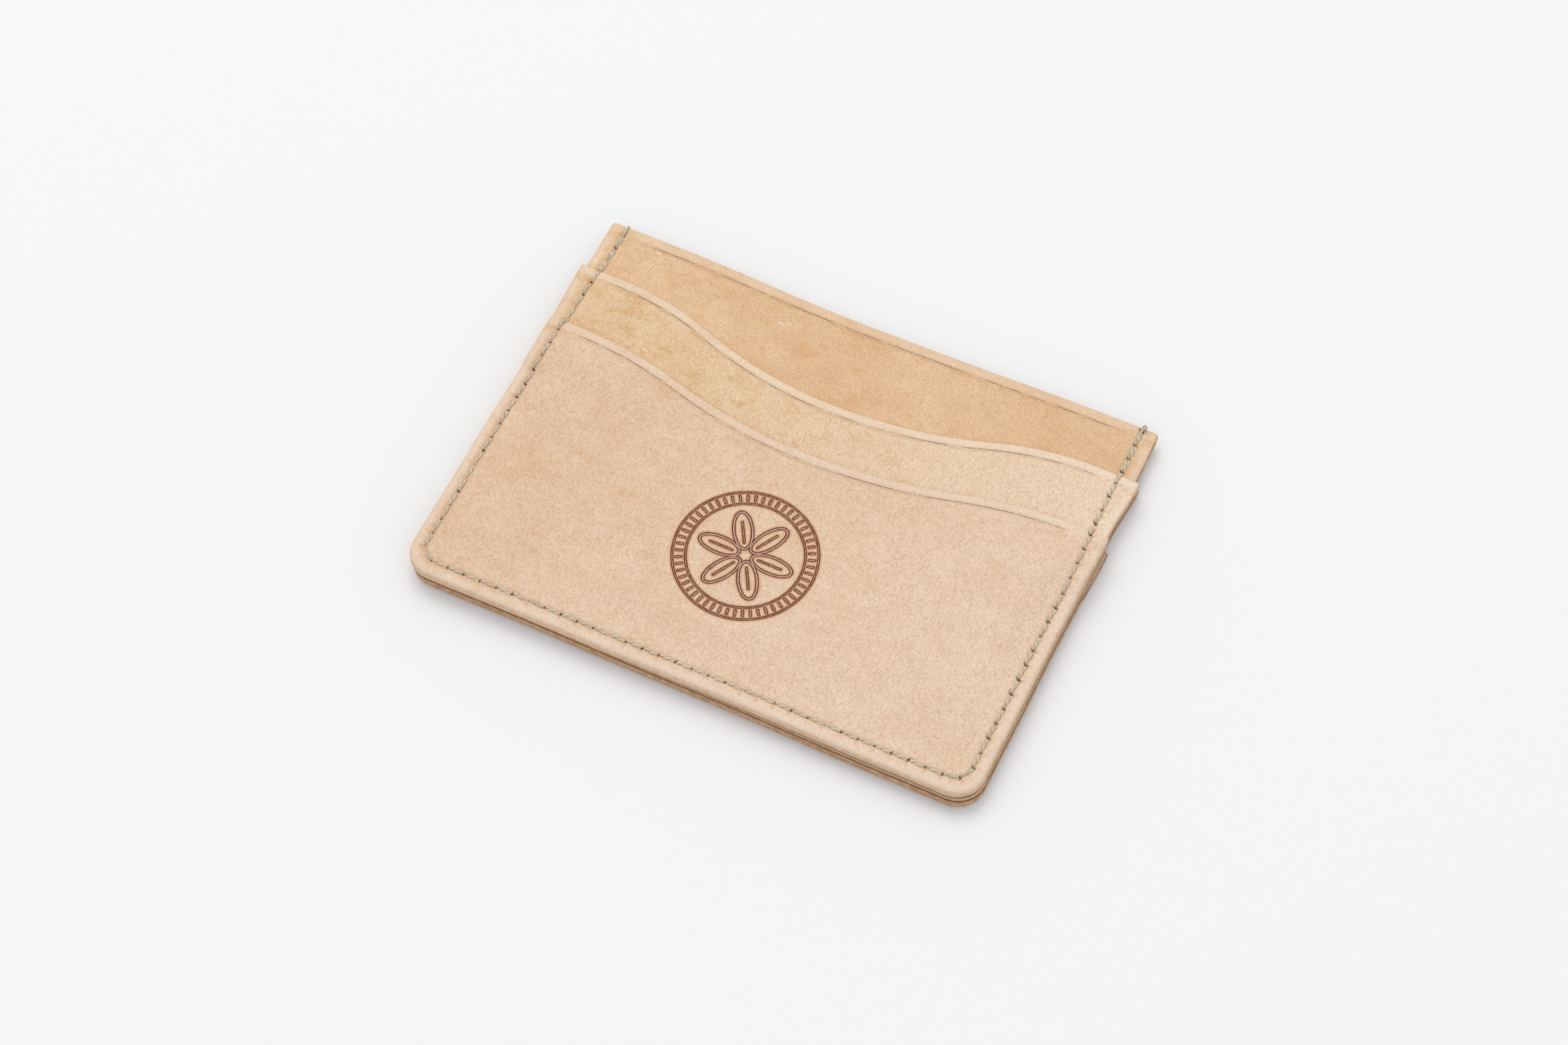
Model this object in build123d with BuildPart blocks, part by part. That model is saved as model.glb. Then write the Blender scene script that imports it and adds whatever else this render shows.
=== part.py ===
"""A slim leather card holder: two full panels with a card pocket between them, and two
stepped pockets on each face, saddle-stitched round the bottom and both sides.

Millimetres. X runs across the mouth, Y from the bottom seam to the mouth and Z through the
layers. The holder lies on its rear pocket, with the origin under its middle, at the bottom.
"""

import os
from math import atan, cos, sin

from build123d import *

# Overall outline, sized round an 85.6 x 54 mm card
height = 78.0
full_half_width = 51.5
mid_half_width = 52.1
mid_waist_half_width = 51.7
outer_half_width = 51.7
bottom_radius = 5.8
bottom_y = -height / 2
top_y = height / 2

# Leather thickness: the T pockets are cut from a thinner hide
leather = 1.0
pocket_leather = 0.8

# Pocket mouths: height of the corners, depth of the dip, half length of the curve, and the
# share of the curve that belongs to its middle arc
top_dip, top_run = 1.0, 46.0
mid_mouth_y, mid_dip, mid_run, mid_share = 28.0, 8.2, 45.0, 0.60
outer_mouth_y, outer_dip, outer_run, outer_share = 15.25, 6.8, 47.0, 0.56

# T pocket: ears caught in the side seams, and a narrower body sewn along its own bottom
ear_y = 5.0
body_half_width = 45.5
body_bottom_y = -24.4
body_radius = 2.0
pan_clearance = 0.3
pan_slope_side = 2.4
pan_slope_ear = 2.0

# Seams
seam_x = 49.3
seam_bottom_y = bottom_y + 2.6
seam_top_y = top_y - 1.0
seam_radius = 3.0
seam_intervals = 82
tee_seam_y = body_bottom_y + 2.2
tee_seam_half_length = 42.0
tee_intervals = 28

# Thread, and the holes and grooves it lies in
thread_radius = 0.22
thread_bend = 0.30
strand_offset = 0.24
clearance = 0.04
slot_width = 2 * (thread_radius + clearance)
slot_length = 2 * (strand_offset + thread_radius + clearance)
thread_depth = thread_radius + clearance
groove_width = slot_length + 0.12
groove_depth = 2 * thread_radius + 2.5 * clearance
edge_notch = 0.45

# Stamp pressed into the front pocket
stamp_x, stamp_y = -0.5, -14.0
stamp_radius, stamp_inner_radius, stamp_line = 12.1, 9.9, 0.45
stamp_depth = 0.15
petal_count, petal_reach, petal_half_width = 6, 8.0, 1.5

# Levels: everything is the same on both sides of the plane between the full panels
z_middle = 2 * leather + pocket_leather
z_full = z_middle + leather
z_mid = z_full + pocket_leather
z_band = z_full + leather
z_outer = z_mid + leather
mirror_plane = Plane.XY.offset(z_middle)
beyond = 10.0


def mouth_points(mouth_y, dip, run, share):
    """The curved mouth is three tangent arcs; this gives where they meet on the right."""
    turn = 2 * atan(dip / run)
    middle_radius = share * run / sin(turn)
    meet = (middle_radius * sin(turn), mouth_y - dip + middle_radius * (1 - cos(turn)))
    return (run, mouth_y), meet, (0, mouth_y - dip)


def flip(point):
    return (-point[0], point[1])


def mouth_curve(mouth_y, dip, run, share):
    """Adds the mouth to the line being built, from right to left."""
    end, meet, low = mouth_points(mouth_y, dip, run, share)
    TangentArc(end, meet, tangent=(-1, 0))
    ThreePointArc(meet, low, flip(meet))
    TangentArc(flip(end), flip(meet), tangent=(1, 0))


def front_level(y):
    """Height of the front surface on a side seam."""
    if y > mid_mouth_y:
        return z_full
    if y > outer_mouth_y:
        return z_mid
    return z_outer if y > ear_y - pan_slope_ear / 2 else z_band


# The seam line, and evenly spaced holes along it from the top left round to the top right

with BuildLine() as seam_line:
    FilletPolyline(
        (-seam_x, seam_top_y),
        (-seam_x, seam_bottom_y),
        (seam_x, seam_bottom_y),
        (seam_x, seam_top_y),
        radius=seam_radius,
    )
seam_wire = seam_line.wire()
print("stitch length", round(seam_wire.length / seam_intervals, 3))
hole_places = []
for k in range(seam_intervals + 1):
    place = seam_wire.position_at(k / seam_intervals)
    along = seam_wire.tangent_at(k / seam_intervals)
    hole_places.append((place, Vector(-along.Y, along.X, 0)))
tee_places = []
for k in range(tee_intervals + 1):
    x = tee_seam_half_length * (2 * k / tee_intervals - 1)
    tee_places.append((Vector(x, tee_seam_y, 0), Vector(0, 1, 0)))

with BuildPart() as stitch_holes:
    for place, across in hole_places:
        hole_plane = Plane(origin=place, x_dir=across, z_dir=(0, 0, 1))
        with BuildSketch(hole_plane):
            SlotOverall(slot_length, slot_width)
        extrude(amount=z_outer + beyond)

with BuildPart() as tee_holes:
    for place, across in tee_places:
        hole_plane = Plane(origin=place, x_dir=across, z_dir=(0, 0, 1))
        with BuildSketch(hole_plane):
            SlotOverall(slot_length, slot_width)
        extrude(amount=z_outer + beyond)

# The stitching groove on the front: a band round the bottom, cut straight from hole to hole
# at the corners, and two sides whose floor steps down with the pockets

pitch = seam_wire.length / seam_intervals
slope_top_y = seam_top_y - pitch * int((seam_top_y - ear_y) / pitch)
slope_low_y = slope_top_y - pitch
groove_join_y = slope_low_y - 1.0
corner_reach = 1.55 * seam_radius
corner_holes = [
    place
    for place, across in hole_places
    if abs(place.X) > seam_x - corner_reach and place.Y < seam_bottom_y + corner_reach
]

with BuildPart() as front_groove:
    with BuildSketch(Plane.XY.offset(z_band - groove_depth)):
        with BuildLine():
            Polyline(
                (-seam_x, groove_join_y),
                *corner_holes,
                (seam_x, groove_join_y),
            )
        trace(line_width=groove_width)
    extrude(amount=beyond)
    with BuildSketch(Plane.YZ.offset(seam_x)) as side_profile:
        with BuildLine():
            Polyline(
                (groove_join_y, z_band - groove_depth),
                (slope_low_y, z_band - groove_depth),
                (slope_top_y, z_outer - groove_depth),
                (outer_mouth_y, z_outer - groove_depth),
                (outer_mouth_y, z_mid - groove_depth),
                (mid_mouth_y, z_mid - groove_depth),
                (mid_mouth_y, z_full - groove_depth),
                (top_y + 1, z_full - groove_depth),
                (top_y + 1, z_outer + beyond),
                (groove_join_y, z_outer + beyond),
                close=True,
            )
        make_face()
    extrude(amount=groove_width / 2, both=True)
    mirror(about=Plane.YZ)
    with BuildSketch(Plane.XY):
        with Locations((-seam_x, top_y), (seam_x, top_y)):
            Rectangle(groove_width, 2 * edge_notch)
    extrude(amount=z_outer + beyond)


# Front full panel

with BuildPart() as front_full_panel:
    with BuildSketch(Plane.XY.offset(z_middle)):
        with BuildLine():
            Polyline(
                (-top_run, top_y),
                (-full_half_width, top_y),
                (-full_half_width, bottom_y),
                (full_half_width, bottom_y),
                (full_half_width, top_y),
                (top_run, top_y),
            )
            ThreePointArc((top_run, top_y), (0, top_y - top_dip), (-top_run, top_y))
        corners = make_face().vertices().group_by(Axis.Y)[0]
        fillet(corners, bottom_radius)
    extrude(amount=leather)
    add(stitch_holes.part, mode=Mode.SUBTRACT)
    add(front_groove.part, mode=Mode.SUBTRACT)
    add(tee_holes.part, mode=Mode.SUBTRACT)
    with Locations((0, tee_seam_y, z_middle)):
        Box(
            2 * tee_seam_half_length + 2 * slot_width,
            groove_width,
            2 * groove_depth,
            mode=Mode.SUBTRACT,
        )


# Front T pocket: the ears reach the side seams, the body hangs between them

with BuildPart() as front_mid_pocket:
    with BuildSketch(Plane.XY.offset(z_full)):
        with BuildLine():
            Polyline(
                (-mid_run, mid_mouth_y),
                (-mid_half_width, mid_mouth_y),
                (-mid_waist_half_width, outer_mouth_y),
                (-mid_waist_half_width, ear_y),
                (-body_half_width, ear_y),
                (-body_half_width, body_bottom_y),
                (body_half_width, body_bottom_y),
                (body_half_width, ear_y),
                (mid_waist_half_width, ear_y),
                (mid_waist_half_width, outer_mouth_y),
                (mid_half_width, mid_mouth_y),
                (mid_run, mid_mouth_y),
            )
            mouth_curve(mid_mouth_y, mid_dip, mid_run, mid_share)
        corners = make_face().vertices().group_by(Axis.Y)[0]
        fillet(corners, body_radius)
    extrude(amount=pocket_leather)
    add(stitch_holes.part, mode=Mode.SUBTRACT)
    add(front_groove.part, mode=Mode.SUBTRACT)
    add(tee_holes.part, mode=Mode.SUBTRACT)
    with Locations((0, tee_seam_y, z_mid)):
        Box(
            2 * tee_seam_half_length + 2 * slot_width,
            groove_width,
            2 * groove_depth,
            mode=Mode.SUBTRACT,
        )


# Front outer pocket: sewn down on the full panel round its rim, and raised over the T pocket

def raised_outline(spread, ear_spread):
    """Half of the T-shaped step in the outer pocket, drawn all round."""
    side = body_half_width + pan_clearance + spread
    low = body_bottom_y - pan_clearance - spread
    ear = ear_y - pan_clearance - ear_spread
    wide = mid_half_width + beyond
    high = mid_mouth_y + beyond
    return [
        (-wide, high),
        (-wide, ear),
        (-side, ear),
        (-side, low),
        (side, low),
        (side, ear),
        (wide, ear),
        (wide, high),
    ]


def raised_step(z):
    """A solid one T pocket high, standing at height z, with sloping sides."""
    with BuildPart() as step:
        with BuildSketch(Plane.XY.offset(z)):
            with BuildLine():
                Polyline(*raised_outline(pan_slope_side, pan_slope_ear), close=True)
            make_face()
        with BuildSketch(Plane.XY.offset(z + pocket_leather)):
            with BuildLine():
                Polyline(*raised_outline(0, 0), close=True)
            make_face()
        loft(ruled=True)
    return step.part


with BuildPart() as plain_outer_pocket:
    with BuildSketch(Plane.XY.offset(z_full)) as outer_outline:
        with BuildLine():
            Polyline(
                (-outer_run, outer_mouth_y),
                (-outer_half_width, outer_mouth_y),
                (-outer_half_width, bottom_y),
                (outer_half_width, bottom_y),
                (outer_half_width, outer_mouth_y),
                (outer_run, outer_mouth_y),
            )
            mouth_curve(outer_mouth_y, outer_dip, outer_run, outer_share)
        corners = make_face().vertices().group_by(Axis.Y)[0]
        fillet(corners, bottom_radius)
    extrude(amount=leather)
    add(raised_step(z_band))
    add(raised_step(z_full), mode=Mode.SUBTRACT)
    extrude(outer_outline.sketch, amount=2 * leather, mode=Mode.INTERSECT)
    add(stitch_holes.part, mode=Mode.SUBTRACT)
    add(front_groove.part, mode=Mode.SUBTRACT)


# The rear panels are the front ones turned over

with BuildPart() as rear_full_panel:
    mirror(front_full_panel.part, about=mirror_plane)

with BuildPart() as rear_mid_pocket:
    mirror(front_mid_pocket.part, about=mirror_plane)

with BuildPart() as rear_outer_pocket:
    mirror(plain_outer_pocket.part, about=mirror_plane)


# The front outer pocket has a stamp: two rings round a plain six-petal rosette

with BuildPart() as front_outer_pocket:
    add(plain_outer_pocket.part)
    with BuildSketch(Plane.XY.offset(z_outer)):
        with Locations((stamp_x, stamp_y)):
            Circle(stamp_radius)
            Circle(stamp_radius - stamp_line, mode=Mode.SUBTRACT)
            Circle(stamp_inner_radius)
            Circle(stamp_inner_radius - stamp_line, mode=Mode.SUBTRACT)
            with PolarLocations(petal_reach / 2, petal_count):
                Ellipse(petal_reach / 2 - stamp_line, petal_half_width)
    extrude(amount=-stamp_depth, mode=Mode.SUBTRACT)


# Thread: two strands that pass through every hole in opposite directions

def strand_points(places, front_of, rear_of, odd):
    """Where one of the two saddle-stitch strands passes each hole: it changes sides of the
    hole from one to the next, so every stitch on a face slants the same way."""
    fronts, rears = [], []
    for k, (place, across) in enumerate(places):
        side = strand_offset if (k + odd) % 2 == 0 else -strand_offset
        spot = place + across * side
        fronts.append(Vector(spot.X, spot.Y, front_of(spot)))
        rears.append(Vector(spot.X, spot.Y, rear_of(spot)))
    return fronts, rears


def over_mouth(start, end):
    """The extra point where a stitch leaves a pocket's mouth for the layer below it."""
    low = start if start.Y < end.Y else end
    for mouth_y in (outer_mouth_y, mid_mouth_y):
        if low.Y < mouth_y < max(start.Y, end.Y):
            return [Vector((start.X + end.X) / 2, mouth_y + 0.35, low.Z)]
    return []


def strand_route(fronts, rears, on_front):
    """The strand's corners from the first hole: through, along, through, along."""
    route = [rears[0], fronts[0]] if on_front else [fronts[0], rears[0]]
    for k in range(1, len(fronts)):
        here, there = (fronts, rears) if on_front else (rears, fronts)
        route += over_mouth(here[k - 1], here[k])
        route += [here[k], there[k]]
        on_front = not on_front
    return route


def seam_front(spot):
    return front_level(spot.Y) - thread_depth


def seam_rear(spot):
    return 2 * z_middle - seam_front(spot)


def tee_front(spot):
    return z_mid - thread_depth


def tee_rear(spot):
    return z_middle + thread_depth


def over_edge(spot, first, last):
    """The corners of a strand that is looped over the top edge between two heights."""
    edge_y = top_y - edge_notch + thread_depth
    return [Vector(spot.X, edge_y, first), Vector(spot.X, edge_y, last)]


def strand(name, route):
    """Sweeps the thread along a route of straight runs with small bends."""
    with BuildPart() as thread:
        with BuildLine() as path:
            FilletPolyline(*route, radius=thread_bend)
        start = path.wire().position_at(0)
        with BuildSketch(Plane(origin=start, z_dir=path.wire().tangent_at(0))):
            Circle(thread_radius)
        sweep()
    thread.part.label = name
    length = path.wire().length
    print(name, "length", round(length, 1), "volume per length", thread.part.volume / length)
    return thread


# Perimeter strands. The first starts over the top edge at the left and the second ends over
# it at the right, so each side seam is closed by one loop round the edge.

fronts, rears = strand_points(hole_places, seam_front, seam_rear, odd=0)
route = strand_route(fronts, rears, on_front=True)
loop = over_edge(rears[0], rears[0].Z, fronts[0].Z)
saddle_thread_one = strand("saddle_thread_one", [rears[0], *loop, *route[2:]])

fronts, rears = strand_points(hole_places, seam_front, seam_rear, odd=1)
route = strand_route(fronts, rears, on_front=False)
loop = over_edge(rears[-1], fronts[-1].Z, rears[-1].Z)
saddle_thread_two = strand("saddle_thread_two", [*route[:-2], *loop, rears[-1]])

# Strands along the bottoms of the T pockets, hidden inside the outer pockets

threads = [saddle_thread_one, saddle_thread_two]
for odd, number in enumerate(("one", "two")):
    fronts, rears = strand_points(tee_places, tee_front, tee_rear, odd)
    route = strand_route(fronts, rears, on_front=odd == 0)
    tee_thread = strand(f"front_tee_thread_{number}", route)
    with BuildPart() as turned_thread:
        mirror(tee_thread.part, about=mirror_plane)
    turned_thread.part.label = f"rear_tee_thread_{number}"
    threads += [tee_thread, turned_thread]


# Export, one file for each piece

front_full_panel.part.label = "front_full_panel"
front_mid_pocket.part.label = "front_mid_pocket"
front_outer_pocket.part.label = "front_outer_pocket"
rear_full_panel.part.label = "rear_full_panel"
rear_mid_pocket.part.label = "rear_mid_pocket"
rear_outer_pocket.part.label = "rear_outer_pocket"
panels = [
    front_full_panel,
    front_mid_pocket,
    front_outer_pocket,
    rear_full_panel,
    rear_mid_pocket,
    rear_outer_pocket,
]
os.makedirs("parts", exist_ok=True)
for piece in panels + threads:
    export_step(piece.part, f"parts/{piece.part.label}.step")
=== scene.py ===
"""A slim leather card holder, lying on its rear pocket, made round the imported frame."""

from math import atan, cos, pi, radians, sin

import bpy
import numpy as np
from mathutils import Matrix, Vector


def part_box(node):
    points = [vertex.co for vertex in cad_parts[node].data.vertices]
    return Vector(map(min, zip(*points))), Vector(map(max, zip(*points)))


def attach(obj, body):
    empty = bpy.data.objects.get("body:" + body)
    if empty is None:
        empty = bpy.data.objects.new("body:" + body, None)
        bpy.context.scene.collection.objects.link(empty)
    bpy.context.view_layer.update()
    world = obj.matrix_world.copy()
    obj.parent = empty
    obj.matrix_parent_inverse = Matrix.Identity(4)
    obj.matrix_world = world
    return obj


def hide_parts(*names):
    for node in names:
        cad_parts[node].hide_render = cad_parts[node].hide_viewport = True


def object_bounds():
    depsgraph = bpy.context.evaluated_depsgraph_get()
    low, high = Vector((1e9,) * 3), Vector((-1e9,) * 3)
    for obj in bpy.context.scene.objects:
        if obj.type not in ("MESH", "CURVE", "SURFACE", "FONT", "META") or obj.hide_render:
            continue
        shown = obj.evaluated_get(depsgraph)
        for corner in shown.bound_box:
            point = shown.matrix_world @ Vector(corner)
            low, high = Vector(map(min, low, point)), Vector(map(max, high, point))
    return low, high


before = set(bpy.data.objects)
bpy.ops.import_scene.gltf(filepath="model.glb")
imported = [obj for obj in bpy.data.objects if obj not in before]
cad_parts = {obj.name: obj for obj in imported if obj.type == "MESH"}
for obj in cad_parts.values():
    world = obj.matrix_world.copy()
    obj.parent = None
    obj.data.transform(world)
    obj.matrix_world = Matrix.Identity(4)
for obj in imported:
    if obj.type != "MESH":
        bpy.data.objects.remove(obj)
cad_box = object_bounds()
bpy.ops.object.select_all(action="DESELECT")


# Camera, table and daylight. The holder lies on a plain pale table under one large soft
# light from the upper left and a weak fill, and is looked at from above, in front and right.

mm = 0.001
scene = bpy.context.scene
scene.view_settings.view_transform = "Standard"

view_azimuth, view_elevation = radians(25.46), radians(58.74)
view_distance = 633.0 * mm
aim = Vector((2.25, -4.99, 4.8)) * mm
towards_camera = Vector(
    (
        sin(view_azimuth) * cos(view_elevation),
        -cos(view_azimuth) * cos(view_elevation),
        sin(view_elevation),
    )
)
camera_data = bpy.data.cameras.new("camera")
camera_data.sensor_width = 36
camera_data.lens = 87.7
camera = bpy.data.objects.new("camera", camera_data)
scene.collection.objects.link(camera)
camera.location = aim + towards_camera * view_distance
camera.rotation_euler = towards_camera.to_track_quat("Z", "Y").to_euler()
scene.camera = camera

table_size = 4.0
table_clearance = 0.05 * mm
bpy.ops.mesh.primitive_plane_add(size=table_size)
table = bpy.context.object
table.name = "table"
table.data.transform(Matrix.Translation((0, 0, -table_clearance)))


class Value:
    """A shader socket that can be used in sums."""

    def __init__(self, material, socket):
        self.material = material
        self.socket = socket

    def sum(self, operation, *others):
        inputs = dict(enumerate((self, *others)))
        return self.material.node("ShaderNodeMath", {"operation": operation}, inputs)

    def __add__(self, other):
        return self.sum("ADD", other)

    def __sub__(self, other):
        return self.sum("SUBTRACT", other)

    def __mul__(self, other):
        return self.sum("MULTIPLY", other)

    def __truediv__(self, other):
        return self.sum("DIVIDE", other)

    def __rsub__(self, other):
        return self.sum("MULTIPLY", -1.0).sum("ADD", other)

    __radd__ = __add__
    __rmul__ = __mul__

    def __abs__(self):
        return self.sum("ABSOLUTE")

    def root(self):
        return self.sum("SQRT")

    def least(self, other):
        return self.sum("MINIMUM", other)

    def most(self, other):
        return self.sum("MAXIMUM", other)

    def ramp(self, start, end):
        """Rises smoothly from 0 at start to 1 at end."""
        return self.material.node(
            "ShaderNodeMapRange",
            {"interpolation_type": "SMOOTHSTEP"},
            {"Value": self, "From Min": start, "From Max": end},
        )


class Finish:
    """A material being built node by node."""

    def __init__(self, name):
        self.made = bpy.data.materials.new(name)
        self.made.use_nodes = True
        self.tree = self.made.node_tree
        self.shader = self.tree.nodes["Principled BSDF"]

    def node(self, kind, settings=None, inputs=None, output=0):
        """Any node: its settings first, then the values or links of its sockets."""
        made = self.tree.nodes.new(kind)
        for key, value in (settings or {}).items():
            setattr(made, key, value)
        for key, value in (inputs or {}).items():
            if isinstance(value, Value):
                self.tree.links.new(value.socket, made.inputs[key])
            else:
                made.inputs[key].default_value = value
        return Value(self, made.outputs[output])

    def set(self, **inputs):
        """Fills the surface's own sockets."""
        for key, value in inputs.items():
            socket = self.shader.inputs[key.replace("_", " ")]
            if isinstance(value, Value):
                self.tree.links.new(value.socket, socket)
            else:
                socket.default_value = value

    def mix(self, share, first, second):
        inputs = {0: share, 6: first, 7: second}
        return self.node("ShaderNodeMix", {"data_type": "RGBA"}, inputs, 2)

    def place(self, stretch=(1, 1, 1)):
        """Object coordinates in millimetres."""
        where = self.node("ShaderNodeTexCoord", output=3)
        scale = [s / mm for s in stretch]
        return self.node("ShaderNodeMapping", {}, {"Vector": where, "Scale": scale})

    def noise(self, place, size, detail=3, rough=0.5, seed=0):
        settings = {"noise_dimensions": "4D"}
        inputs = {"Vector": place, "W": seed, "Scale": 1 / size, "Detail": detail}
        inputs["Roughness"] = rough
        return self.node("ShaderNodeTexNoise", settings, inputs)

    def along(self, name):
        return self.node("ShaderNodeAttribute", {"attribute_name": name}, output=2)

    def bump(self, height):
        """Height in millimetres."""
        inputs = {"Height": height, "Distance": mm}
        return self.node("ShaderNodeBump", {}, inputs)


def colour(red, green, blue):
    """A colour as a swatch gives it, in linear light."""
    parts = []
    for part in (red, green, blue):
        part = part / 255
        parts.append(part / 12.92 if part < 0.04045 else ((part + 0.055) / 1.055) ** 2.4)
    return (*parts, 1)


tabletop = Finish("pale_table")
tabletop.set(Base_Color=colour(240, 237, 233), Roughness=0.7)
table.data.materials.append(tabletop.made)

scene.world = bpy.data.worlds.new("studio")
scene.world.use_nodes = True
sky = scene.world.node_tree.nodes["Background"]
sky.inputs["Color"].default_value = (0.835, 0.905, 1.0, 1)
sky.inputs["Strength"].default_value = 0.87


def soft_light(name, azimuth, elevation, distance, size, power, tint):
    """An area light round the holder. Azimuth 0 is behind it and 90 to its left."""
    data = bpy.data.lights.new(name, "AREA")
    data.size = size
    data.energy = power
    data.color = tint
    lamp = bpy.data.objects.new(name, data)
    scene.collection.objects.link(lamp)
    turn, rise = radians(azimuth), radians(elevation)
    outward = Vector((-sin(turn) * cos(rise), cos(turn) * cos(rise), sin(rise)))
    lamp.location = outward * distance
    lamp.rotation_euler = outward.to_track_quat("Z", "Y").to_euler()


light_distance, light_height = 3.6, 60
soft_light("window", 40, light_height, light_distance, 2.4, 45.5, (1.0, 0.935, 0.83))
soft_light("fill", 200, light_height, light_distance, 3.0, 8.5, (0.9, 0.95, 1.0))


# Full panels: the two middle pieces of the holder, undyed vegetable-tanned leather 1 mm
# thick, back to back with the centre pocket between them. Each is die cut, creased along
# its top and sewn to the pockets and to the other panel through punched slanting slits.

leather = 1.0
pocket_leather = 0.8
z_middle = 2.8
z_full = z_middle + leather
z_mid = z_full + pocket_leather
z_band = z_full + leather

top_y = (cad_box[1].y - cad_box[0].y) / mm / 2
bottom_y = -top_y
bottom_radius = 5.0
full_half_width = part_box("front_full_panel")[1].x / mm

seam_x, seam_radius = 49.3, 3.0
seam_bottom_y, seam_top_y = bottom_y + 2.6, top_y - 1.0
seam_draws_in = 0.7
seam_side = seam_top_y - seam_bottom_y - seam_radius
seam_corner = seam_radius * pi / 2
seam_length = 2 * (seam_side + seam_corner + seam_x - seam_radius)
first_hole, last_hole = 1.1, seam_length + 0.1
hole_count = 83
pitch = (last_hole - first_hole) / (hole_count - 1)


def ease(value, start, end):
    """Rises smoothly from 0 at start to 1 at end, for numbers and arrays."""
    share = np.clip((value - start) / (end - start), 0, 1)
    return share * share * (3 - 2 * share)


def mouth_line(x, mouth_y, dip, run, share):
    """Height of a curved mouth: an arc in the middle between two that turn the other way."""
    turn = 2 * atan(dip / run)
    middle = share * run / sin(turn)
    outer = (1 - share) * run / sin(turn)
    x = np.abs(x)
    low = mouth_y - dip + middle - np.sqrt(np.maximum(middle**2 - x**2, 0))
    high = mouth_y - outer + np.sqrt(np.maximum(outer**2 - (run - x) ** 2, 0))
    return np.where(x < middle * sin(turn), low, np.where(x < run, high, mouth_y))


def seam_half_width(y):
    """The two side seams draw in a little towards the top."""
    return seam_x - seam_draws_in * ease(y, 0, top_y)


def along_seam(x, y):
    """How far a point is along the seam from its left end, and how far inside it."""
    centre_x, centre_y = seam_x - seam_radius, seam_bottom_y + seam_radius
    side_along = np.where(x < 0, seam_top_y - y, seam_length - (seam_top_y - y))
    side_inside = seam_half_width(y) - np.abs(x)
    base_along = seam_side + seam_corner + x + centre_x
    base_inside = y - seam_bottom_y
    off_x, off_y = np.abs(x) - centre_x, centre_y - y
    turn = np.arctan2(off_y, np.maximum(off_x, 1e-6)) * seam_radius
    corner_along = np.where(x < 0, seam_side + turn, seam_length - seam_side - turn)
    corner_inside = seam_radius - np.hypot(off_x, off_y)
    on_corner = (off_x > 0) & (off_y > 0)
    on_side = ~on_corner & (side_inside < base_inside)
    along = np.where(on_corner, corner_along, np.where(on_side, side_along, base_along))
    inside = np.where(on_corner, corner_inside, np.where(on_side, side_inside, base_inside))
    return along, inside


def seam_dent(x, y):
    """The thread's groove, deeper where each stitch pulls the leather into its hole."""
    along, inside = along_seam(x, y)
    hole = (along - first_hole) / pitch
    from_hole = (hole - np.round(hole)) * pitch
    groove = 0.17 * np.exp(-((inside / 0.5) ** 2))
    pulled = 0.2 * np.exp(-((inside / 0.55) ** 2) - (from_hole / 0.55) ** 2)
    shoulder = 0.05 * np.exp(-(((np.abs(inside) - 1.0) / 0.5) ** 2))
    return (groove + pulled - shoulder) * ease(y, seam_top_y + 0.7, seam_top_y - 0.6)


# Rows and columns lie at these distances from an edge, where the shape is finest.
near_edge = [0, 0.03, 0.08, 0.15, 0.24, 0.36, 0.52, 0.75, 1.0, 1.25, 1.45, 1.6, 1.75, 1.9]
near_edge += [2.05, 2.2, 2.35, 2.5, 2.65, 2.8, 2.95, 3.15, 3.4, 3.75, 4.2, 4.8]


def gathered(low, high, spacing, also=()):
    """Places from low to high, close together near both ends."""
    first, last = low + near_edge[-1], high - near_edge[-1]
    middle = np.linspace(first, last, max(2, round((last - first) / spacing)))[1:-1]
    ends = [low + d for d in near_edge] + [high - d for d in near_edge]
    return np.array(sorted([*ends, *middle, *also]))


def points(piece):
    flat = np.zeros(len(piece.data.vertices) * 3)
    piece.data.vertices.foreach_get("co", flat)
    return flat.reshape(-1, 3)


def put(piece, where):
    piece.data.vertices.foreach_set("co", np.asarray(where, dtype=float).ravel())
    piece.data.update()


def select_only(piece):
    bpy.ops.object.select_all(action="DESELECT")
    bpy.context.view_layer.objects.active = piece
    piece.select_set(True)


def blank(name, columns, rows):
    """A flat sheet with these columns and rows, in millimetres."""
    bpy.ops.object.select_all(action="DESELECT")
    across, up = len(columns) - 1, len(rows) - 1
    bpy.ops.mesh.primitive_grid_add(x_subdivisions=across, y_subdivisions=up, size=2)
    piece = bpy.context.object
    piece.name = name
    where = points(piece)
    column = np.rint((where[:, 0] + 1) / 2 * across).astype(int)
    row = np.rint((where[:, 1] + 1) / 2 * up).astype(int)
    where[:, 0], where[:, 1] = columns[column], rows[row]
    put(piece, where)
    return piece


def round_corners(where, half_width, edge_y, towards, radius):
    """Bends the rows round the two corners at one end. Returns the distance from the edge
    for every point in those corners, and a huge number elsewhere."""
    x, y = where[:, 0], where[:, 1]
    side = (radius - (half_width - np.abs(x))) / radius
    end = (radius - (edge_y - y) * towards) / radius
    corner = (side > 0) & (end > 0)
    most = np.maximum(side, end)
    turn = np.where(side >= end, end, 2 * most - side) / np.maximum(most, 1e-9) * pi / 4
    new_x = np.sign(x) * (half_width - radius + radius * most * np.cos(turn))
    new_y = edge_y - towards * (radius - radius * most * np.sin(turn))
    where[:, 0] = np.where(corner, new_x, x)
    where[:, 1] = np.where(corner, new_y, y)
    return np.where(corner, radius * (1 - most), 1e9)


def rolled(distance, radius):
    """How far a rounded edge has dropped at this distance from it."""
    inside = np.clip(radius - distance, 0, radius)
    return radius - np.sqrt(np.maximum(radius**2 - inside**2, 0))


top_sinks = 0.7


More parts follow.
